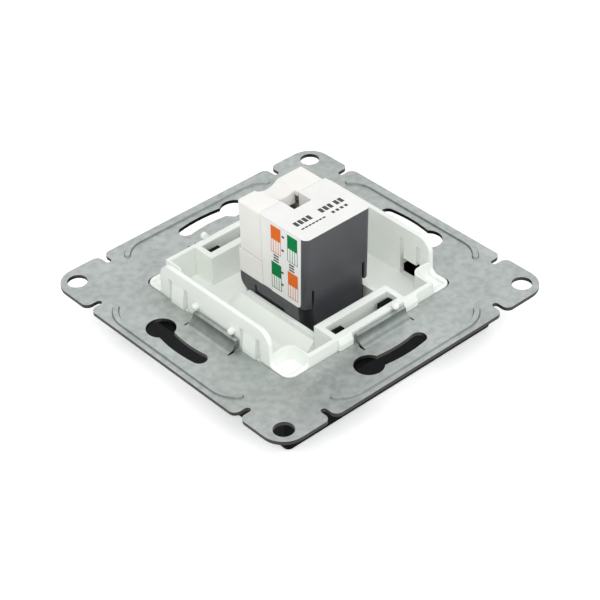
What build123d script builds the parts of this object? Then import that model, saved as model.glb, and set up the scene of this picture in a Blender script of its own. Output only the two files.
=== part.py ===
# Data socket insert for a 60 mm wall box, lying on its front cover with its rear side up.
# Millimetres. +Z points to the rear of the socket and the origin is the centre of the cover's face.
from build123d import *
import math
import os

os.makedirs("parts", exist_ok=True)

# Front cover
cover_side = 55.0
cover_height = 9.9
cover_face_thick = 2.0
cover_wall = 1.5
cover_corner_r = 1.2
cover_window_margin = 0.35
arm_width = 3.0
arm_thick = 1.5
arm_rise = 1.8
arm_play = 0.15

# Yoke plate
plate_side = 71.0
plate_thick = 0.8
plate_bottom = 10.1
plate_corner_r = 5.0
plate_opening = 44.0
plate_opening_r = 2.0
corner_hole_inset = 3.9
corner_hole_r = 2.1
fixing_circle_r = 30.0
keyhole_slot_width = 3.2
keyhole_head_r = 3.05
keyhole_head_angle = 165.1
keyhole_sweep = 24.3
notch_inset = 12.7
notch_width = 1.3
notch_depth = 3.3
notch_mouth_r = 1.5
bead_inset = 1.8
bead_half_length = 14.0
bead_end_r = 6.5
bead_end_sweep = 50.0
bead_width = 1.5
bead_height = 0.35
bead_slope = 35.0
tab_length = 12.8
tab_offset = 1.4
tab_gap = 0.4
tab_bend_r = 2.1
tab_relief = 0.35

# Carrier
carrier_gap = 0.2
carrier_corner_r = 2.2
side_wall = 1.1
end_wall = 1.0
floor_depth = 4.0
floor_thick = 1.5
side_wall_rise = 7.7
side_wall_end_r = 3.0
end_wall_rise = 2.7
flange_lap = 2.0
flange_thick = 1.5
flange_corner_r = 2.5
corner_length_x = 5.4
corner_length_y = 5.4
corner_inner_r = 1.7
corner_wall = 0.55
corner_rim_rise = 0.1
corner_sink = 0.5
corner_blend_r = 1.2
bridge_half_length = 9.5
bridge_width = 6.4
slot_end_wall = 1.3
slot_outer_wall = 1.6
slot_width = 3.0
slot_ledge = 0.6
collar_wall = 1.0
collar_rise = 0.2
collar_high = 6.8
collar_skirt_drop = 0.9
collar_skirt_spread = 2.9
finger_inner = 9.0
finger_width = 3.7
finger_slot = 1.0
finger_rise = 4.9
catch_proud = 0.55
catch_rise = 1.3
end_catch_width = 3.6
end_catch_gap = 0.45
nub_r = 0.75
nub_proud = 1.1
nub_rise = 3.1
nub_low = -5.8
nub_high = 5.0

# Jack
jack_half_width = 8.5
jack_rise = 20.8
shoulder_rise = 3.75
cap_seat_rise = 9.1
nose_half_width = 7.25
nose_front = 2.3
nose_low = -10.5
nose_high = 5.6
nose_play = 0.1
body_high = 7.5
body_low_front = -12.0
body_low_rear = -13.0
body_foot_drop = 0.2
body_foot_r = 2.4
body_edge_r = 1.4
corner_step_inner = 6.3
corner_step_depth = 2.1
groove_width = 0.6
groove_depth = 1.0
groove_rise = 8.0
foot_relief = 0.4
foot_relief_low = -5.5
foot_relief_high = 2.55
foot_relief_rise = 0.9
foot_notch = 0.65
foot_notch_rise = 2.3
split_line = -4.0
port_half_width = 5.95
port_low = -5.6
port_high = 1.4
port_depth = 13.3
latch_half_width = 3.1
latch_low = -8.6
latch_tip_half_width = 2.0
latch_tip_low = -9.2
latch_stop = 3.0
housing_wall = 1.2
lug_half_width = 3.0
lug_proud = 0.6
lug_height = 1.6
contact_pitch = 1.02
contact_width = 0.4
contact_thick = 0.3
contact_count = 8
contact_bend = 3.4
contact_reach = 6.2
contact_dip = 2.0
insert_high = 2.5
insert_plate = 0.8
insert_leg = 2.8
board_thick = 1.0
board_gap = 0.5
board_margin = 1.4
cap_inset = 0.15
cap_top = 7.3
cap_bottom = 0.6
cap_wall = 1.0
cap_gap = 0.15
cap_edge_r = 0.5
saddle_middle = -0.9
saddle_r = 4.4
saddle_depth = 1.35
saddle_tilt = 9.0
saddle_boss_half = 2.6
saddle_boss_depth = 3.0
pocket_left = -2.9
pocket_right = 1.6
pocket_low = -3.35
pocket_high = 1.6
pocket_depth = 5.0
idc_pitch = 2.1
idc_row_x = 5.3
idc_row_half = 1.5
idc_tower_top = 5.6
idc_blade_thick = 0.4
idc_blade_half = 0.7
idc_core_half = 0.4
idc_core_floor = 2.2
label_thick = 0.12
label_edge = 0.4
label_wing_edge = -1.55
label_corner_r = 1.0

# Levels and lines that follow from the sizes above
plate_top = plate_bottom + plate_thick
plate_half = plate_side / 2
opening_half = plate_opening / 2
notch_offset = plate_half - notch_inset
bead_line = plate_half - bead_inset
corner_hole_offset = plate_half - corner_hole_inset
tab_low = -tab_offset - tab_length / 2
tab_high = -tab_offset + tab_length / 2
carrier_half = opening_half - carrier_gap
tab_inner_face = carrier_half + tab_gap
flange_half = opening_half + flange_lap
bridge_inner = carrier_half - bridge_width
slot_half_length = bridge_half_length - slot_end_wall
slot_outer = carrier_half - slot_outer_wall
slot_inner = slot_outer - slot_width
floor_top = plate_top - floor_depth
floor_bottom = floor_top - floor_thick
end_wall_top = plate_top + end_wall_rise
side_wall_top = plate_top + side_wall_rise
collar_top = plate_top + collar_rise
shoulder = plate_top + shoulder_rise
cap_seat = plate_top + cap_seat_rise
jack_rear = plate_top + jack_rise
port_end = nose_front + port_depth
board_half_width = jack_half_width - housing_wall - board_gap
cap_half_width = jack_half_width - cap_inset
contact_half_span = (contact_count - 1) / 2 * contact_pitch
insert_half_width = contact_half_span + 2 * contact_width + contact_pitch
insert_rear = port_end + insert_leg
insert_room = 2 * contact_thick


def block(x0, x1, y0, y1, z0, z1):
    """A box between two corners."""
    return Pos((x0 + x1) / 2, (y0 + y1) / 2, (z0 + z1) / 2) * Box(x1 - x0, y1 - y0, z1 - z0)


def slab(outline, z0, z1):
    """A flat outline raised between two levels."""
    return Pos(0, 0, z0) * extrude(outline, z1 - z0)


def side_profile(points, x0, x1):
    """A Y-Z outline given a thickness along X."""
    wire = Polyline([(x0, y, z) for y, z in points], close=True)
    return extrude(make_face(wire), x1 - x0, dir=(1, 0, 0))


def quarter_turns(shape):
    """The shape and its copies after 90, 180 and 270 degrees about the Z axis."""
    return [Rot(0, 0, 90 * turn) * shape for turn in range(4)]


def half_turns(shape):
    """The shape and its copy after 180 degrees about the Z axis."""
    return [shape, Rot(0, 0, 180) * shape]


def four_sides(shape):
    """The shape and its mirror images in X, in Y and in both."""
    across = mirror(shape, Plane.YZ)
    return [shape, across, mirror(shape, Plane.XZ), mirror(across, Plane.XZ)]


def save(shape, node):
    export_step(shape, f"parts/{node}.step")


# Yoke plate: one galvanised stamping with keyholes, edge notches, pressed beads and bent-up tabs
blank = RectangleRounded(plate_side, plate_side, plate_corner_r)
for side in (-1, 1):
    slit_end = plate_half - notch_depth + notch_width / 2
    slit = Pos(side * notch_offset, (plate_half + slit_end) / 2) * Rectangle(notch_width, plate_half - slit_end)
    slit += Pos(side * notch_offset, slit_end) * Circle(notch_width / 2)
    blank -= quarter_turns(slit)
mouths = [
    v for v in blank.vertices()
    if abs(max(abs(v.X), abs(v.Y)) - plate_half) < 0.01
    and abs(min(abs(v.X), abs(v.Y)) - notch_offset) < notch_width
]
blank = fillet(mouths, notch_mouth_r)
keyhole_line = CenterArc((0, 0), fixing_circle_r, keyhole_head_angle, keyhole_sweep)
head = keyhole_line @ 0
keyhole = SlotArc(keyhole_line, keyhole_slot_width) + Pos(head.X, head.Y) * Circle(keyhole_head_r)
blank -= quarter_turns(keyhole)
corner_hole = Pos(corner_hole_offset, corner_hole_offset) * Circle(corner_hole_r)
blank -= quarter_turns(corner_hole)
blank -= RectangleRounded(plate_opening, plate_opening, plate_opening_r)
yoke = slab(blank, plate_bottom, plate_top)


def bead_outline(width):
    """A narrow strip along one edge of the plate whose ends curl inwards."""
    outline = Pos(0, bead_line) * Rectangle(2 * bead_half_length, width)
    for hand in (-1, 1):
        middle = (hand * bead_half_length, bead_line - bead_end_r)
        start = 90 if hand < 0 else 90 - bead_end_sweep
        outline += SlotArc(CenterArc(middle, bead_end_r, start, bead_end_sweep), width)
    return outline


ridge = Pos(0, 0, plate_top - 0.01) * extrude(bead_outline(bead_width), bead_height, taper=bead_slope)
groove = slab(bead_outline(bead_width - plate_thick), plate_bottom, plate_bottom + bead_height)
for solid in quarter_turns(ridge):
    yoke += solid
for cut in quarter_turns(groove):
    yoke -= cut

tab_hinge = tab_inner_face + plate_thick + tab_bend_r
relief = block(
    -tab_hinge, -opening_half + 1, tab_low - tab_relief, tab_high + tab_relief,
    plate_bottom - 1, plate_top + 1,
)
bend = Cylinder(tab_bend_r + plate_thick, tab_length) - Cylinder(tab_bend_r, tab_length)
bend = Pos(-tab_hinge, -tab_offset, plate_top + tab_bend_r) * Rot(90, 0, 0) * bend
bend &= block(-tab_hinge, -tab_inner_face, tab_low, tab_high, plate_bottom, plate_top + tab_bend_r)
for cut in quarter_turns(relief):
    yoke -= cut
for tab in quarter_turns(bend):
    yoke += tab
save(yoke, "yoke_plate")

# Carrier: one white moulding that snaps into the plate and holds the jack
tub = slab(RectangleRounded(2 * carrier_half, 2 * carrier_half, carrier_corner_r), floor_bottom, end_wall_top)
tub -= block(
    -carrier_half + side_wall, carrier_half - side_wall,
    -carrier_half + end_wall, carrier_half - end_wall,
    floor_top, end_wall_top + 1,
)
flange_outline = RectangleRounded(2 * flange_half, 2 * flange_half, flange_corner_r)
flange_outline -= RectangleRounded(2 * carrier_half, 2 * carrier_half, carrier_corner_r)
carrier = tub + slab(flange_outline, plate_bottom - flange_thick, plate_bottom)

# Tall side walls with rounded ends that rise from the open corners
side_wall_half_length = carrier_half - corner_length_y
tall = block(
    carrier_half - side_wall, carrier_half,
    -side_wall_half_length, side_wall_half_length,
    floor_top, side_wall_top,
)
tall = fillet(tall.faces().sort_by(Axis.Z)[-1].edges().filter_by(Axis.X), side_wall_end_r)
for wall in half_turns(tall):
    carrier += wall


def corner_outline(length_x, length_y, inner_r, beyond):
    """The plan of an open corner: a rectangle at (+X, +Y) whose innermost corner is rounded."""
    inner = (carrier_half - length_x, carrier_half - length_y)
    outer = carrier_half + beyond
    plan = make_face(Polyline(inner, (outer, inner[1]), (outer, outer), (inner[0], outer), close=True))
    return fillet(plan.vertices().sort_by_distance((0, 0))[0], inner_r)


# Open corners at plate level, each fenced off from the well by a thin curved wall
carrier_outline = RectangleRounded(2 * carrier_half, 2 * carrier_half, carrier_corner_r)
corner_rim = plate_top + corner_rim_rise
corner_floor = corner_rim - corner_sink
post = slab(
    corner_outline(
        corner_length_x + corner_wall, corner_length_y + corner_wall, corner_inner_r + corner_wall, 0
    ) & carrier_outline,
    floor_bottom, end_wall_top,
)
opening = slab(
    corner_outline(corner_length_x, corner_length_y, corner_inner_r, 1), corner_rim, side_wall_top + 1)
opening = fillet(opening.faces().sort_by(Axis.Z)[0].edges(), corner_blend_r)
sunk = slab(
    corner_outline(corner_length_x, corner_length_y, corner_inner_r, -side_wall),
    corner_floor, corner_rim + 1,
)
core = slab(
    corner_outline(
        corner_length_x - corner_wall, corner_length_y - corner_wall, corner_inner_r - corner_wall, -side_wall
    ),
    floor_bottom - 1, corner_floor - floor_thick,
)
for solid in four_sides(post):
    carrier += solid
for cut in four_sides(opening) + four_sides(sunk) + four_sides(core):
    carrier -= cut

# Bridges across the ends with the slots for the cover's snap arms
bridge = block(-bridge_half_length, bridge_half_length, bridge_inner, carrier_half, floor_bottom, end_wall_top)
bridge_slot = block(-slot_half_length, slot_half_length, slot_inner, slot_outer, floor_top, end_wall_top + 1)
bridge_slot += block(
    -slot_half_length, slot_half_length, slot_inner, slot_outer - slot_ledge,
    floor_bottom - 1, floor_top + 0.01,
)
for solid in half_turns(bridge):
    carrier += solid
for cut in half_turns(bridge_slot):
    carrier -= cut

# Low collar round the jack on a sloping skirt, and the opening for the jack's nose
collar_half = jack_half_width + nose_play + collar_wall
skirt_top = plate_top - collar_skirt_drop
skirt_angle = math.degrees(math.atan(collar_skirt_spread / (skirt_top - floor_top)))


def collar_outline(grow):
    """The collar's plan, open towards -Y, grown by an offset all round."""
    length = 2 * (carrier_half + collar_high)
    plan = RectangleRounded(2 * (collar_half + grow), length + 2 * grow, collar_wall + grow + 0.1)
    return Pos(0, collar_high - length / 2) * plan


skirt = Pos(0, 0, floor_top) * extrude(
    collar_outline(collar_skirt_spread), skirt_top - floor_top, taper=skirt_angle)
collar = skirt + slab(collar_outline(0), floor_top, collar_top)
collar &= block(-carrier_half, carrier_half, -bridge_inner, carrier_half, floor_top, collar_top)
collar -= block(
    -collar_half - 1, collar_half + 1, collar_high - 2 * collar_wall, collar_high + 1,
    plate_top - body_foot_drop - 0.1, collar_top + 1,
)
carrier += collar
carrier -= block(
    -collar_half + collar_wall, collar_half - collar_wall,
    -bridge_inner, collar_high - collar_wall,
    floor_top, collar_top,
)
carrier -= block(
    -nose_half_width - nose_play, nose_half_width + nose_play,
    nose_low - nose_play, nose_high + nose_play,
    floor_bottom - 1, floor_top + 1,
)

# Spring fingers cut free in the side walls, each with a catch that hooks over the plate
finger_outer = finger_inner + finger_width
window = block(
    carrier_half - side_wall - 0.1, flange_half + 0.1,
    finger_inner - finger_slot, finger_outer + finger_slot,
    floor_top - 0.1, plate_top + finger_rise,
)
finger = block(
    carrier_half - side_wall, carrier_half,
    finger_inner, finger_outer,
    plate_top + 0.05, plate_top + finger_rise,
)


def catch(y0, y1, top):
    """A wedge on the +X face: flat below, with a long slope above."""
    outline = Polyline([
        (carrier_half - 0.2, y0, plate_top + 0.05),
        (carrier_half + catch_proud, y0, plate_top + 0.05),
        (carrier_half + catch_proud, y0, plate_top + catch_rise),
        (carrier_half, y0, top),
        (carrier_half - 0.2, y0, top),
    ], close=True)
    return extrude(make_face(outline), y1 - y0, dir=(0, 1, 0))


finger += catch(finger_inner, finger_outer, plate_top + finger_rise - 0.3)
for cut in four_sides(window):
    carrier -= cut
for solid in four_sides(finger):
    carrier += solid

# Fixed catches on the end walls, just past both ends of the bent tabs
for start in (-tab_high - end_catch_gap - end_catch_width, -tab_low + end_catch_gap):
    for solid in half_turns(Rot(0, 0, 90) * catch(start, start + end_catch_width, end_wall_top)):
        carrier += solid

# Round nubs over the bent tabs: two on each side wall and one on each end wall
nub = Cylinder(nub_r, nub_proud + 0.3, align=(Align.CENTER, Align.CENTER, Align.MIN))
nub = chamfer(nub.edges().sort_by(Axis.Z)[-1], nub_r / 2)
nub = Pos(-carrier_half + 0.3, 0, plate_top + nub_rise) * Rot(0, -90, 0) * nub
for solid in quarter_turns(Pos(0, nub_low, 0) * nub) + half_turns(Pos(0, nub_high, 0) * nub):
    carrier += solid
save(carrier, "carrier")

# Front cover: a dark tray with the plug window and four snap arms
cover = slab(RectangleRounded(cover_side, cover_side, cover_corner_r), 0, cover_height)
cover = fillet(cover.faces().sort_by(Axis.Z)[0].edges(), 0.6)
inner_side = cover_side - 2 * cover_wall
cover -= slab(RectangleRounded(inner_side, inner_side, 0.6), cover_face_thick, cover_height + 1)
window_low = latch_tip_low - cover_window_margin
window_high = port_high + cover_window_margin
cover_window = Pos(0, (window_low + window_high) / 2) * RectangleRounded(
    2 * (port_half_width + cover_window_margin), window_high - window_low, 0.6)
cover -= slab(cover_window, -1, cover_face_thick + 1)
arm_outer = slot_outer - slot_ledge - arm_play
arm = side_profile([
    (arm_outer - arm_thick, cover_face_thick - 0.5),
    (arm_outer, cover_face_thick - 0.5),
    (arm_outer, floor_top + 0.05),
    (slot_outer - arm_play, floor_top + 0.05),
    (slot_outer - arm_play, floor_top + 0.8),
    (arm_outer - 0.3, plate_top + arm_rise),
    (arm_outer - arm_thick, plate_top + arm_rise),
], slot_half_length - 2 * arm_play - arm_width, slot_half_length - 2 * arm_play)
for solid in four_sides(arm):
    cover += solid
save(cover, "front_cover")

# Jack housing: dark moulding with the nose, the plug cavity and the tapered lower shell
nose = block(-nose_half_width, nose_half_width, nose_low, nose_high, nose_front, shoulder)
body_foot = block(
    -jack_half_width, jack_half_width, body_low_front, body_high,
    plate_top - body_foot_drop, shoulder,
)
body_foot = fillet(
    body_foot.edges().filter_by(Axis.X).group_by(Axis.Z)[0].sort_by(Axis.Y)[-1], body_foot_r)
body_foot += block(
    -jack_half_width, jack_half_width, body_low_front, body_high - body_foot_r,
    floor_top + 0.05, shoulder,
)
shell = side_profile([
    (body_low_front, shoulder - 1),
    (split_line, shoulder - 1),
    (split_line, jack_rear),
    (body_low_rear, jack_rear),
], -jack_half_width, jack_half_width)
shell_corners = [
    edge for edge in shell.edges()
    if edge.center().Y < body_low_front and abs(edge.center().X) > jack_half_width - 0.01
]
shell = fillet(shell_corners, body_edge_r)
housing = nose + body_foot + shell
# Hollow under the circuit board
housing -= block(-jack_half_width + housing_wall, jack_half_width - housing_wall,
                 body_low_front + housing_wall, split_line + 1, port_end + 1.2, jack_rear - housing_wall)
# Plug cavity with its latch channel
housing -= block(-port_half_width, port_half_width, port_low, port_high, nose_front - 1, port_end)
housing -= block(-latch_half_width, latch_half_width, latch_low, port_low + 0.1, nose_front - 1, port_end)
housing -= block(
    -latch_tip_half_width, latch_tip_half_width, latch_tip_low, port_low,
    nose_front - 1, port_end - latch_stop,
)
# Room above the cavity for the contacts and their insert
housing -= block(
    -insert_half_width - 0.2, insert_half_width + 0.2, port_high - 0.1, insert_high + 2 * insert_room,
    nose_front + contact_bend - 2 * insert_room, shoulder + 1,
)
# Stepped corners, fine grooves beside the tapered face and the relief along the foot
for side in (-1, 1):
    near, far = sorted((side * corner_step_inner, side * (jack_half_width + 1)))
    housing -= block(near, far, body_low_front - 2, body_low_front + corner_step_depth, floor_top, shoulder)
    near, far = sorted((side * corner_step_inner, side * (corner_step_inner + groove_width)))
    housing -= block(
        near, far, body_low_rear - 1, body_low_front + groove_depth,
        shoulder - 0.1, plate_top + groove_rise,
    )
    near, far = sorted((side * (jack_half_width - foot_relief), side * (jack_half_width + 1)))
    housing -= block(near, far, foot_relief_low, foot_relief_high, floor_top, plate_top + foot_relief_rise)
    housing -= block(
        near, far, foot_relief_high - 0.01, foot_relief_high + foot_notch,
        floor_top, plate_top + foot_notch_rise,
    )
# Keystone lugs that hold the nose under the carrier's floor
lug = Polyline([
    (0, -0.1, -lug_height), (0, 0, -lug_height), (0, lug_proud, -lug_height / 2),
    (0, lug_proud, -0.05), (0, -0.1, -0.05),
], close=True)
lug = Pos(-lug_half_width, 0, floor_bottom) * extrude(make_face(lug), 2 * lug_half_width, dir=(1, 0, 0))
housing += Pos(0, nose_high, 0) * lug
housing += Pos(0, nose_low, 0) * mirror(lug, Plane.XZ)
save(housing, "jack_housing")

# Contact insert: a bracket over the plug cavity that carries the eight spring contacts
insert = block(
    -insert_half_width, insert_half_width, insert_high - insert_plate, insert_high,
    nose_front + contact_bend + contact_thick, insert_rear,
)
insert += block(
    -insert_half_width, insert_half_width, split_line + 0.05, insert_high, port_end + 0.2, insert_rear)
save(insert, "contact_insert")

# Circuit board under the terminal block
board = block(
    -board_half_width, board_half_width, split_line - board_thick, split_line,
    port_end + board_margin, jack_rear - board_margin,
)
save(board, "circuit_board")

# Eight plug contacts, bent from the board over the insert and back down into the cavity
contact_y = insert_high + contact_thick / 2
contact_z = insert_rear + contact_thick / 2
contact_path = FilletPolyline([
    (0, split_line, contact_z),
    (0, contact_y, contact_z),
    (0, contact_y, nose_front + contact_bend),
    (0, port_high - contact_thick, nose_front + contact_bend),
    (0, port_high - contact_dip, nose_front + contact_bend + contact_reach),
], radius=contact_thick)
for number in range(contact_count):
    x = number * contact_pitch - contact_half_span
    section = Plane(origin=contact_path @ 0, z_dir=contact_path % 0) * Rectangle(contact_thick, contact_width)
    contact = sweep(section, path=contact_path)
    save(Pos(x, 0, 0) * contact, f"plug_contact_{number + 1}")

# Terminal block: white body with the slotted towers for the eight cores
idc_mid = (cap_seat + jack_rear) / 2 + 0.1
idc_levels = [idc_mid + (k - 1.5) * idc_pitch for k in range(4)]
terminal = block(-jack_half_width, jack_half_width, split_line, cap_bottom - cap_gap, shoulder, jack_rear)
terminal += block(
    -jack_half_width - 0.1, jack_half_width + 0.1,
    cap_bottom - cap_gap, cap_top + 0.15, shoulder, cap_seat,
)
tower_z0 = idc_levels[0] - idc_pitch / 2 - 0.1
tower_z1 = idc_levels[3] + idc_pitch / 2 + 0.1
for side in (-1, 1):
    middle = side * idc_row_x
    terminal += block(middle - idc_row_half, middle + idc_row_half, 0, idc_tower_top, tower_z0, tower_z1)
    for level in idc_levels:
        terminal -= block(
            middle - 2 * idc_row_half, middle + 2 * idc_row_half,
            idc_core_floor, idc_tower_top + 1, level - idc_core_half, level + idc_core_half,
        )
        terminal -= block(
            middle - idc_blade_thick / 2 - 0.05, middle + idc_blade_thick / 2 + 0.05,
            split_line - 1, idc_tower_top - 0.3,
            level - idc_blade_half - 0.05, level + idc_blade_half + 0.05,
        )
terminal -= block(
    -insert_half_width - 0.2, insert_half_width + 0.2, split_line - 1, insert_high + insert_room,
    shoulder - 1, insert_rear + insert_room,
)
terminal -= block(
    pocket_left, pocket_right, pocket_low, pocket_high,
    jack_rear - pocket_depth, jack_rear + 1,
)
save(terminal, "terminal_block")

# Eight forked terminal blades standing on the board
for side in (-1, 1):
    for index, level in enumerate(idc_levels):
        middle = side * idc_row_x
        blade = block(
            middle - idc_blade_thick / 2, middle + idc_blade_thick / 2,
            split_line, idc_tower_top - 0.4,
            level - idc_blade_half, level + idc_blade_half,
        )
        blade -= block(middle - 1, middle + 1, 1.6, idc_tower_top, level - 0.16, level + 0.16)
        blade -= Pos(middle, idc_tower_top - 0.4, level) * Rot(45, 0, 0) * Box(1, 0.7, 0.7)
        number = index + 1 + (4 if side > 0 else 0)
        save(blade, f"terminal_blade_{number}")

# Wiring cap: a white lid pressed over the towers, with a saddle for the cable in its rear wall
cap_front = cap_seat + cap_gap
cap = block(-cap_half_width, cap_half_width, cap_bottom, cap_top, cap_front, jack_rear)
outer_face = cap.faces().sort_by(Axis.Y)[-1]
rear_face = cap.faces().sort_by(Axis.Z)[-1]
cap = fillet(outer_face.edges().filter_by(Axis.Z) + rear_face.edges().sort_by(Axis.Y)[1:], cap_edge_r)
cavity = block(
    -cap_half_width + cap_wall, cap_half_width - cap_wall,
    cap_bottom - 1, cap_top - cap_wall,
    cap_front + cap_wall, jack_rear - cap_wall,
)
cavity -= block(
    saddle_middle - saddle_boss_half, saddle_middle + saddle_boss_half, pocket_high, cap_top,
    jack_rear - saddle_boss_depth, jack_rear,
)
cap -= cavity
scoop_z = jack_rear - saddle_depth + saddle_r
cap -= Pos(saddle_middle, cap_top, scoop_z) * Rot(90 - saddle_tilt, 0, 0) * Cylinder(saddle_r, 4 * cap_top)
cap -= block(
    pocket_left, pocket_right, cap_bottom - 1, pocket_high,
    jack_rear - pocket_depth, jack_rear + 1,
)
save(cap, "wiring_cap")

# Label: one sticker folded over the rear of the jack, with a rounded wing down each side
wing = Polyline([
    (0, body_low_front + body_edge_r, shoulder),
    (0, label_wing_edge, shoulder),
    (0, label_wing_edge, jack_rear + label_thick),
    (0, body_low_rear + body_edge_r, jack_rear + label_thick),
], close=True)
wing = extrude(make_face(wing), label_thick, dir=(1, 0, 0))
wing = fillet(wing.edges().filter_by(Axis.X).group_by(Axis.Z)[0], label_corner_r)
sticker = block(
    -jack_half_width - label_thick, jack_half_width + label_thick,
    body_low_rear, label_edge, jack_rear, jack_rear + label_thick,
)
sticker = fillet(sticker.edges().filter_by(Axis.Z).group_by(Axis.Y)[0], body_edge_r)
sticker += [Pos(jack_half_width, 0, 0) * wing, Pos(-jack_half_width - label_thick, 0, 0) * wing]
sticker -= block(pocket_left, pocket_right, pocket_low, label_edge + 1, jack_rear - 1, jack_rear + 1)
save(sticker, "label")
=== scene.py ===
import bpy
import math
from mathutils import Matrix, Vector


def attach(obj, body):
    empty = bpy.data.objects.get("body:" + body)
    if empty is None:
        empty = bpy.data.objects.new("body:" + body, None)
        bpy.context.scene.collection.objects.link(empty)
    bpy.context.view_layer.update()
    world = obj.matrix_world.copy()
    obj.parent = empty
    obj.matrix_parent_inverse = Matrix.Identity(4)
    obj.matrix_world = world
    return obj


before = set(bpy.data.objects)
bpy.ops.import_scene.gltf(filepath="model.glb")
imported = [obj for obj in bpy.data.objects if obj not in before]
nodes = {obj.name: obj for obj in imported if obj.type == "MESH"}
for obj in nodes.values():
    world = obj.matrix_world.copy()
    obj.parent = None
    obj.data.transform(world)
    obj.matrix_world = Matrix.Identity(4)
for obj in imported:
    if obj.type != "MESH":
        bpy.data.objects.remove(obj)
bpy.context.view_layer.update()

# Camera
# A long lens looks down on the rear of the socket from beyond its near corner,
# as in the photograph. The plate's four corner holes gave its place and turn.
MM = 0.001
CAMERA_PLACE = (-204.27, -242.71, 249.07)
CAMERA_AZIMUTH = math.radians(-40.13)
CAMERA_ELEVATION = math.radians(37.415)
CAMERA_ROLL = math.radians(-2.648)
FOCAL_PIXELS = 1976.8
FRAME_PIXELS = 600
SENSOR = 36.0
CLIP_START = 10.0

camera_data = bpy.data.cameras.new("camera")
camera_data.sensor_width = SENSOR
camera_data.lens = FOCAL_PIXELS * SENSOR / FRAME_PIXELS
camera_data.clip_start = CLIP_START * MM
camera = bpy.data.objects.new("camera", camera_data)
bpy.context.collection.objects.link(camera)
back = Vector((
    math.sin(CAMERA_AZIMUTH) * math.cos(CAMERA_ELEVATION),
    -math.cos(CAMERA_AZIMUTH) * math.cos(CAMERA_ELEVATION),
    math.sin(CAMERA_ELEVATION),
))
level = Vector((math.cos(CAMERA_AZIMUTH), math.sin(CAMERA_AZIMUTH), 0))
upright = back.cross(level)
right = level * math.cos(CAMERA_ROLL) + upright * math.sin(CAMERA_ROLL)
up = upright * math.cos(CAMERA_ROLL) - level * math.sin(CAMERA_ROLL)
turn = Matrix((right, up, back)).transposed().to_4x4()
camera.matrix_world = Matrix.Translation(Vector(CAMERA_PLACE) * MM) @ turn
bpy.context.scene.camera = camera

# Studio
# A white sweep that the camera sees as white, a broad softbox above at the camera's left,
# a weaker one at its right and an even sky, all without colour.
WHITE = "#FFFFFF"
FLOOR_SIZE = 3000.0
FLOOR_DROP = 0.02
FLOOR_GLOW = 0.4
SKY_STRENGTH = 0.63
SEEN_SKY_STRENGTH = 1.0
LAMP_TARGET = (0, 0, 12)
KEY_PLACE = (-300, -160, 520)
KEY_SIZE = 420
KEY_POWER = 1.5
FILL_PLACE = (160, -420, 420)
FILL_SIZE = 380
FILL_POWER = 0.95


def linear(code):
    """A colour written as sRGB hex, in the linear values that the shader takes."""
    values = [int(code[i:i + 2], 16) / 255 for i in (1, 3, 5)]
    return tuple(v / 12.92 if v <= 0.04045 else ((v + 0.055) / 1.055) ** 2.4 for v in values) + (1.0,)


def node(tree, kind, inputs=None, links=None, stops=(), **settings):
    """Adds one node with its settings, inputs and incoming links. A ramp's stops are (place, hex)."""
    made = tree.nodes.new(kind)
    for name, value in settings.items():
        setattr(made, name, value)
    for name, value in (inputs or {}).items():
        made.inputs[name].default_value = value
    for name, source in (links or {}).items():
        tree.links.new(source, made.inputs[name])
    for _ in stops[2:]:  # a new ramp has two stops already
        made.color_ramp.elements.new(0.5)
    for number, (place, code) in enumerate(stops):
        made.color_ramp.elements[number].position = place
        made.color_ramp.elements[number].color = linear(code)
    return made


def empty_material(name):
    """A material with no nodes, and the tree to build them in."""
    material = bpy.data.materials.new(name)
    material.use_nodes = True
    material.node_tree.nodes.clear()
    return material, material.node_tree


def mesh_piece(name, verts, faces, material):
    """A mesh object made from points in millimetres."""
    mesh = bpy.data.meshes.new(name)
    mesh.from_pydata([[c * MM for c in v] for v in verts], [], faces)
    mesh.validate()
    mesh.materials.append(material)
    piece = bpy.data.objects.new(name, mesh)
    bpy.context.collection.objects.link(piece)
    return piece


def seen_or_mirrored(tree):
    """1 for what the camera sees straight, in a reflection or through something clear, else 0."""
    ray = node(tree, "ShaderNodeLightPath")
    straight = node(tree, "ShaderNodeMath", operation="MAXIMUM",
                    links={0: ray.outputs["Is Camera Ray"], 1: ray.outputs["Is Glossy Ray"]})
    through = node(tree, "ShaderNodeMath", operation="MAXIMUM",
                   links={0: straight.outputs[0], 1: ray.outputs["Is Transmission Ray"]})
    return through.outputs[0]


paper_sweep, tree = empty_material("paper_sweep")
matte = node(tree, "ShaderNodeBsdfDiffuse", {"Color": linear(WHITE)})
glow = node(tree, "ShaderNodeEmission", {"Color": linear(WHITE), "Strength": FLOOR_GLOW})
lit = node(tree, "ShaderNodeAddShader", links={0: matte.outputs[0], 1: glow.outputs[0]})
sweep = node(tree, "ShaderNodeMixShader",
             links={0: seen_or_mirrored(tree), 1: matte.outputs[0], 2: lit.outputs[0]})
node(tree, "ShaderNodeOutputMaterial", links={"Surface": sweep.outputs[0]})
half = FLOOR_SIZE / 2
floor = mesh_piece("floor", [(-half, -half, 0), (half, -half, 0), (half, half, 0), (-half, half, 0)],
                   [(0, 1, 2, 3)], paper_sweep)
floor.location.z = -FLOOR_DROP * MM

world = bpy.data.worlds.new("studio_sky")
bpy.context.scene.world = world
world.use_nodes = True
sky = world.node_tree
sky.nodes.clear()
sky_dim = node(sky, "ShaderNodeBackground", {"Color": linear(WHITE), "Strength": SKY_STRENGTH})
sky_white = node(sky, "ShaderNodeBackground", {"Color": linear(WHITE), "Strength": SEEN_SKY_STRENGTH})
sky_mix = node(sky, "ShaderNodeMixShader",
               links={0: seen_or_mirrored(sky), 1: sky_dim.outputs[0], 2: sky_white.outputs[0]})
node(sky, "ShaderNodeOutputWorld", links={"Surface": sky_mix.outputs[0]})


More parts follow.
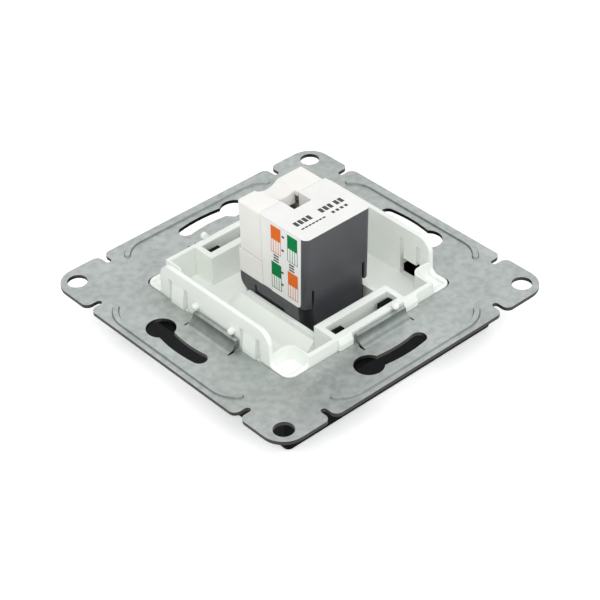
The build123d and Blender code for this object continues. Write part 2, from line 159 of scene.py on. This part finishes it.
def softbox(name, place, size, power):
    """A square area lamp aimed at the middle of the part. Places and size are in millimetres."""
    lamp = bpy.data.lights.new(name, "AREA")
    lamp.shape = "SQUARE"
    lamp.size = size * MM
    lamp.energy = power
    holder = bpy.data.objects.new(name, lamp)
    bpy.context.collection.objects.link(holder)
    holder.location = Vector(place) * MM
    holder.rotation_euler = (Vector(LAMP_TARGET) - Vector(place)).to_track_quat("-Z", "Y").to_euler()


softbox("key_softbox", KEY_PLACE, KEY_SIZE, KEY_POWER)
softbox("fill_softbox", FILL_PLACE, FILL_SIZE, FILL_POWER)
bpy.context.scene.view_settings.view_transform = "Standard"


# Yoke plate
# Stamped from 0.8 mm hot-dip galvanised sheet: a dull grey zinc coat with faint spangle and stains.
# Its cut edges are bare and dark; on the tabs they are painted paler, as painted light from above. Sloped
# faces, bends and tabs are painted darker than the flat, as painted shade.
PLATE_TOP = 10.9
TAB_FOOT = PLATE_TOP + 0.05
STAIN_MM = 12.0
SPANGLE_MM = 1.6
ROLL_LINE_MM = 0.3  # real rolling lines are finer, and wouldn't show
ALONG_Y = (1, 0.1, 1)
ROLL_LINE_DEPTH = 0.02
ROLL_LINE_STRENGTH = 0.03
ZINC_METALLIC = 0.85
ZINC_STAINS = [(0.30, "#B0B6B3"), (0.50, "#BABFBD"), (0.72, "#C2C7C5")]
ZINC_SPANGLE = [(0.32, "#E4E8E6"), (0.62, "#FFFFFF")]
ZINC_DULLNESS = [(0.3, "#A8A8A8"), (0.7, "#B8B8B8")]
SHEET_EDGE = "#3B3936"
# Painted light: the cut edges on the tabs are paler, as if lit from above, while the sheet's own edges stay
# dark.
LIT_TAB_EDGE = "#8B8E8C"
EDGE_BY_LEVEL = [(0.02, "#000000"), (0.05, "#FFFFFF")]
# Painted shade: sloped and upright faces of the sheet are darkened, more the steeper they stand.
SHADE_BY_LEVEL = [(0.25, "#A9ADAB"), (0.92, "#BDC1BF"), (0.99, "#FFFFFF")]


def grain(tree, size_mm, detail=2.0, stretch=(1, 1, 1)):
    """A noise pattern whose features are about size_mm across, as values from 0 to 1."""
    place = node(tree, "ShaderNodeTexCoord")
    scaled = node(tree, "ShaderNodeMapping", {"Scale": stretch}, {"Vector": place.outputs["Object"]})
    noise = node(tree, "ShaderNodeTexNoise", {"Scale": 1 / (size_mm * MM), "Detail": detail},
                 {"Vector": scaled.outputs[0]})
    return noise.outputs["Fac"]


def paint(node_name, material):
    """Gives a CAD node its material."""
    for slot in nodes[node_name].material_slots:
        slot.material = material


galvanised, tree = empty_material("galvanised_sheet_steel")
spangle = grain(tree, SPANGLE_MM, detail=4.0)
tone = node(tree, "ShaderNodeValToRGB", links={"Fac": grain(tree, STAIN_MM, detail=4.0)}, stops=ZINC_STAINS)
cells = node(tree, "ShaderNodeValToRGB", links={"Fac": spangle}, stops=ZINC_SPANGLE)
zinc = node(tree, "ShaderNodeMixRGB", {"Fac": 1.0}, {"Color1": tone.outputs[0], "Color2": cells.outputs[0]},
            blend_type="MULTIPLY")
facing = node(tree, "ShaderNodeNewGeometry")
facing_axes = node(tree, "ShaderNodeSeparateXYZ", links={0: facing.outputs["Normal"]})
flatness = node(tree, "ShaderNodeMath", operation="ABSOLUTE", links={0: facing_axes.outputs["Z"]})
coated = node(tree, "ShaderNodeValToRGB", links={"Fac": flatness.outputs[0]}, stops=EDGE_BY_LEVEL)
# Painted shade: the zinc is darkened on faces that slope or stand upright, by how far they turn from flat.
painted_slope_shade = node(tree, "ShaderNodeValToRGB", links={"Fac": flatness.outputs[0]}, stops=SHADE_BY_LEVEL)
zinc_with_slope_shade = node(tree, "ShaderNodeMixRGB", {"Fac": 1.0}, {"Color1": zinc.outputs[0], "Color2": painted_slope_shade.outputs[0]},
              blend_type="MULTIPLY")
sheet_place = node(tree, "ShaderNodeTexCoord")
sheet_axes = node(tree, "ShaderNodeSeparateXYZ", links={0: sheet_place.outputs["Object"]})
# Painted light: cut edges above the plate's top, on the tabs, take the paler edge colour.
on_tab = node(tree, "ShaderNodeMath", {1: TAB_FOOT * MM}, {0: sheet_axes.outputs["Z"]},
              operation="GREATER_THAN")
edge_with_lit_tabs = node(tree, "ShaderNodeMixRGB", {"Color1": linear(SHEET_EDGE), "Color2": linear(LIT_TAB_EDGE)},
                 {"Fac": on_tab.outputs[0]})
coat = node(tree, "ShaderNodeMixRGB", links={
    "Fac": coated.outputs[0], "Color1": edge_with_lit_tabs.outputs[0], "Color2": zinc_with_slope_shade.outputs[0]})
dullness = node(tree, "ShaderNodeValToRGB", links={"Fac": spangle}, stops=ZINC_DULLNESS)
relief = node(tree, "ShaderNodeBump", {"Strength": ROLL_LINE_STRENGTH, "Distance": ROLL_LINE_DEPTH * MM},
              {"Height": grain(tree, ROLL_LINE_MM, detail=3.0, stretch=ALONG_Y)})
steel = node(tree, "ShaderNodeBsdfPrincipled", {"Metallic": ZINC_METALLIC}, {
    "Base Color": coat.outputs[0], "Roughness": dullness.outputs[0], "Normal": relief.outputs[0]})
node(tree, "ShaderNodeOutputMaterial", links={"Surface": steel.outputs[0]})
paint("yoke_plate", galvanised)


# Carrier
# One moulding in white PC/ABS with a fine spark-eroded skin: satin, faintly cool,
# a little light passes through its thin walls, and every edge is softly rounded.
MOULD_GRAIN_MM = 0.12  # coarser than a real skin's grain, which wouldn't show
MOULD_GRAIN_DEPTH = 0.01
MOULD_GRAIN_STRENGTH = 0.15
TONE_DRIFT_MM = 14.0
EDGE_ROUND = 0.3
EDGE_SAMPLES = 6
PLASTIC_IOR = 1.55
LIGHT_REACH = (0.8, 0.8, 0.7)  # how far red, green and blue go in, as shares of LIGHT_REACH_MM
LIGHT_REACH_MM = 0.8
WHITE_GLOW_THROUGH = 0.15


def moulded(name, dark, light, roughness, edge=EDGE_ROUND, glow_through=0.0, gloss=0.5):
    """Moulded plastic: fine grain, slight shifts of tone, softened edges."""
    material, tree = empty_material(name)
    tone = node(tree, "ShaderNodeValToRGB", links={"Fac": grain(tree, TONE_DRIFT_MM)},
                stops=[(0.35, dark), (0.65, light)])
    rounded = node(tree, "ShaderNodeBevel", {"Radius": edge * MM}, samples=EDGE_SAMPLES)
    relief = node(tree, "ShaderNodeBump",
                  {"Strength": MOULD_GRAIN_STRENGTH, "Distance": MOULD_GRAIN_DEPTH * MM},
                  {"Height": grain(tree, MOULD_GRAIN_MM), "Normal": rounded.outputs[0]})
    plastic = node(tree, "ShaderNodeBsdfPrincipled", {
        "Roughness": roughness, "IOR": PLASTIC_IOR, "Specular IOR Level": gloss,
        "Subsurface Weight": glow_through, "Subsurface Radius": LIGHT_REACH,
        "Subsurface Scale": LIGHT_REACH_MM * MM,
    }, {"Base Color": tone.outputs[0], "Normal": relief.outputs[0]})
    node(tree, "ShaderNodeOutputMaterial", links={"Surface": plastic.outputs[0]})
    return material


paint("carrier", moulded("white_pc_abs", "#EDF2EC", "#F3F7F2", 0.38, glow_through=WHITE_GLOW_THROUGH))


# Front cover
# The socket's visible face, moulded in near-black PC. It lies face down here, and its four arms show as
# dark ends in the carrier's slots. Its gloss is far below real PC's, so that they stay dark under the sky.
COVER_GLOSS = 0.03

paint("front_cover", moulded("black_pc", "#0E0F11", "#131417", 0.5, gloss=COVER_GLOSS))


# Jack housing
# The dark grey shell of the jack, moulded in glass-filled PBT: satin,
# with a slightly mottled skin, and grooves down its tapered side.
JACK_EDGE_ROUND = 0.4

paint("jack_housing", moulded("grey_pbt", "#37383D", "#3F4045", 0.36, edge=JACK_EDGE_ROUND))


# Terminal block and wiring cap
# White PC mouldings, a touch warmer than the carrier. The block holds the slotted towers;
# the cap presses over them and pulls straight off again.
white_pc = moulded("white_pc", "#EFEEE9", "#F3F2EE", 0.34, glow_through=WHITE_GLOW_THROUGH)
paint("terminal_block", white_pc)
paint("wiring_cap", white_pc)


# Contact insert, board and contacts
# A black PBT insert, a green glass-epoxy board with a satin solder mask,
# gold-plated spring wires and tinned forked blades.
CONTACTS = 8
MASK_MOTTLE_MM = 3.0
BOARD_IOR = 1.5
DRAW_LINE_MM = 0.2  # coarser than real drawing lines, which wouldn't show
ACROSS_X = (1, 0.1, 0.1)

paint("contact_insert", moulded("black_pbt", "#1B1B1D", "#222225", 0.45))

board, tree = empty_material("green_glass_epoxy")
green = node(tree, "ShaderNodeValToRGB", links={"Fac": grain(tree, MASK_MOTTLE_MM, detail=3.0)},
             stops=[(0.4, "#0E4A2A"), (0.6, "#146036")])
epoxy = node(tree, "ShaderNodeBsdfPrincipled", {"Roughness": 0.3, "IOR": BOARD_IOR},
             {"Base Color": green.outputs[0]})
node(tree, "ShaderNodeOutputMaterial", links={"Surface": epoxy.outputs[0]})
paint("circuit_board", board)


def drawn_metal(name, dark, light, roughness):
    """Plated spring metal with fine lines along its length."""
    material, tree = empty_material(name)
    tone = node(tree, "ShaderNodeValToRGB", links={"Fac": grain(tree, DRAW_LINE_MM, stretch=ACROSS_X)},
                stops=[(0.35, dark), (0.65, light)])
    metal = node(tree, "ShaderNodeBsdfPrincipled", {"Metallic": 1.0, "Roughness": roughness},
                 {"Base Color": tone.outputs[0]})
    node(tree, "ShaderNodeOutputMaterial", links={"Surface": metal.outputs[0]})
    return material


gold_plate = drawn_metal("gold_plated_bronze", "#D9A441", "#EBC06A", 0.22)
tin_plate = drawn_metal("tinned_bronze", "#C4C3BE", "#D8D7D2", 0.3)
for number in range(1, CONTACTS + 1):
    paint(f"plug_contact_{number}", gold_plate)
    paint(f"terminal_blade_{number}", tin_plate)


# Label
# One white vinyl sticker folded over the rear of the jack and down both sides, printed before it is
# stuck on: colour fields for the wires, short bars between them, ticks beside them, and bars on the rear.
REAR_Z = 31.82
REAR_REACH = 0.05
VINYL_MOTTLE_MM = 5.0
VINYL_IOR = 1.5
REAR_INK = "#35353A"
BAR_ROWS = (
    # x from, x to, y middle, bar height, pitch, share of the pitch that is inked
    (-6.4, -2.2, -7.4, 1.5, 1.10, 0.74),
    (0.1, 3.4, -7.3, 1.5, 1.15, 0.74),
    (4.0, 6.1, -7.3, 1.5, 1.15, 0.74),
    (-6.4, -0.1, -9.4, 0.42, 0.90, 0.80),
    (1.5, 5.6, -9.3, 0.75, 1.10, 0.62),
)


def within(tree, value, middle, reach):
    """1 where the value lies within reach of the middle, else 0."""
    off = node(tree, "ShaderNodeMath", {1: middle}, {0: value}, operation="SUBTRACT")
    away = node(tree, "ShaderNodeMath", links={0: off.outputs[0]}, operation="ABSOLUTE")
    inside = node(tree, "ShaderNodeMath", {1: reach}, {0: away.outputs[0]}, operation="LESS_THAN")
    return inside.outputs[0]


def joined(tree, first, second, operation):
    """Two masks made into one: MULTIPLY keeps what lies in both, MAXIMUM what lies in either."""
    return node(tree, "ShaderNodeMath", links={0: first, 1: second}, operation=operation).outputs[0]


vinyl, tree = empty_material("white_vinyl")
white = node(tree, "ShaderNodeValToRGB", links={"Fac": grain(tree, VINYL_MOTTLE_MM)},
             stops=[(0.4, "#EAEAE9"), (0.6, "#EEEEED")])
spot = node(tree, "ShaderNodeTexCoord")
spot_mm = node(tree, "ShaderNodeVectorMath", {1: (1 / MM, 1 / MM, 1 / MM)}, {0: spot.outputs["Object"]},
               operation="MULTIPLY")
spot_axes = node(tree, "ShaderNodeSeparateXYZ", links={0: spot_mm.outputs[0]})
bars = None
for x0, x1, y, height, pitch, share in BAR_ROWS:
    row = joined(tree, within(tree, spot_axes.outputs["X"], (x0 + x1) / 2, (x1 - x0) / 2),
                 within(tree, spot_axes.outputs["Y"], y, height / 2), "MULTIPLY")
    along = node(tree, "ShaderNodeMath", {1: x0}, {0: spot_axes.outputs["X"]}, operation="SUBTRACT")
    step = node(tree, "ShaderNodeMath", {1: pitch}, {0: along.outputs[0]}, operation="MODULO")
    bar = node(tree, "ShaderNodeMath", {1: pitch * share}, {0: step.outputs[0]}, operation="LESS_THAN")
    inked = joined(tree, row, bar.outputs[0], "MULTIPLY")
    bars = joined(tree, bars, inked, "MAXIMUM") if bars else inked
rear_bars = joined(tree, bars, within(tree, spot_axes.outputs["Z"], REAR_Z, REAR_REACH), "MULTIPLY")
printed_white = node(tree, "ShaderNodeMixRGB", {"Color2": linear(REAR_INK)},
                     {"Fac": rear_bars, "Color1": white.outputs[0]})
film = node(tree, "ShaderNodeBsdfPrincipled", {"Roughness": 0.4, "IOR": VINYL_IOR},
            {"Base Color": printed_white.outputs[0]})
node(tree, "ShaderNodeOutputMaterial", links={"Surface": film.outputs[0]})
paint("label", vinyl)


# Ink on the label's sides
# Flat printing ink with a faint mottle: orange and green fields on the near side, blue and brown
# on the far one. Each colour has a full field with an outlined, striped one below it.
SIDE_X = 8.62
INK_LIFT = 0.02
SLANT = 0.035  # how far the columns lean in y for each millimetre down
UPPER_RISE = 20.05  # rises are heights above the plate's top
LOWER_RISE = 11.3
COLUMN_Y = (-2.89, -7.68)
FIELD_WIDTH = 2.9
SOLID_HEIGHT = 3.2
STRIPED_HEIGHT = 3.15
STRIPE_LINE = 0.14
STRIPE_COUNT = 4
TICK_PLACES = ((-6.45, 18.5), (-6.30, 15.2), (-6.10, 9.7), (-6.0, 6.7))
TICK_WIDTH = 0.7
TICK_HEIGHT = 0.45
MARK_PLACES = ((-3.55, 12.95), (-8.10, 12.95))
MARK_COUNT = 3
MARK_PITCH = 0.65
MARK_WIDTH = 1.5
MARK_HEIGHT = 0.34
INK_MOTTLE_MM = 0.25  # coarser than real printing dots, which wouldn't show
INK_MOTTLE = 1.12  # how much brighter the mottle's pale parts are
INK_ROUGHNESS = 0.55
INK_GLOSS = 0.08


def ink(name, code):
    """Printing ink on vinyl: flat colour with a faint mottle."""
    material, tree = empty_material(name)
    pale = tuple(min(1.0, c * INK_MOTTLE) for c in linear(code)[:3]) + (1.0,)
    tone = node(tree, "ShaderNodeMixRGB", {"Color1": linear(code), "Color2": pale},
                {"Fac": grain(tree, INK_MOTTLE_MM)})
    dry = node(tree, "ShaderNodeBsdfPrincipled",
               {"Roughness": INK_ROUGHNESS, "Specular IOR Level": INK_GLOSS}, {"Base Color": tone.outputs[0]})
    node(tree, "ShaderNodeOutputMaterial", links={"Surface": dry.outputs[0]})
    return material


def printed(name, rectangles, side, material):
    """Ink on the sticker's side. rectangles are (y0, y1, rise0, rise1) in millimetres; side is -1 or 1."""
    verts = []
    faces = []
    x = side * (SIDE_X + INK_LIFT)
    for y0, y1, low, high in rectangles:
        start = len(verts)
        for y, rise in ((y0, low), (y1, low), (y1, high), (y0, high)):
            verts.append((x, y + SLANT * (UPPER_RISE - rise), PLATE_TOP + rise))
        corners = tuple(range(start, start + 4))
        faces.append(corners if side > 0 else corners[::-1])
    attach(mesh_piece(name, verts, faces, material), "socket")


def colour_field(y_high, top):
    """The rectangles of one colour: a full field above and an outlined, striped one below."""
    y_low = y_high - FIELD_WIDTH
    middle = top - SOLID_HEIGHT
    bottom = middle - STRIPED_HEIGHT
    rectangles = [(y_low, y_high, middle, top)]
    for k in range(STRIPE_COUNT + 1):
        y = y_low + (FIELD_WIDTH - STRIPE_LINE) * k / STRIPE_COUNT
        rectangles.append((y, y + STRIPE_LINE, bottom, middle))
    rectangles.append((y_low, y_high, bottom, bottom + STRIPE_LINE))
    return rectangles


orange_ink = ink("orange_ink", "#DD6B26")
green_ink = ink("green_ink", "#007A40")
blue_ink = ink("blue_ink", "#2C6DB4")
brown_ink = ink("brown_ink", "#8A5A34")
black_ink = ink("black_ink", "#2B2B2E")

upper = [colour_field(y, UPPER_RISE) for y in COLUMN_Y]
lower = [colour_field(y, LOWER_RISE) for y in COLUMN_Y]
printed("orange_fields", upper[0] + lower[1], -1, orange_ink)
printed("green_fields", upper[1] + lower[0], -1, green_ink)
printed("blue_fields", upper[0] + upper[1], 1, blue_ink)
printed("brown_fields", lower[0] + lower[1], 1, brown_ink)

ticks = [(y - TICK_WIDTH / 2, y + TICK_WIDTH / 2, rise, rise + TICK_HEIGHT) for y, rise in TICK_PLACES]
marks = []
for y, top_rise in MARK_PLACES:
    for k in range(MARK_COUNT):
        rise = top_rise - MARK_PITCH * k
        marks.append((y - MARK_WIDTH, y, rise, rise + MARK_HEIGHT))
for side, side_name in ((-1, "left"), (1, "right")):
    printed(f"ticks_and_marks_{side_name}", ticks + marks, side, black_ink)
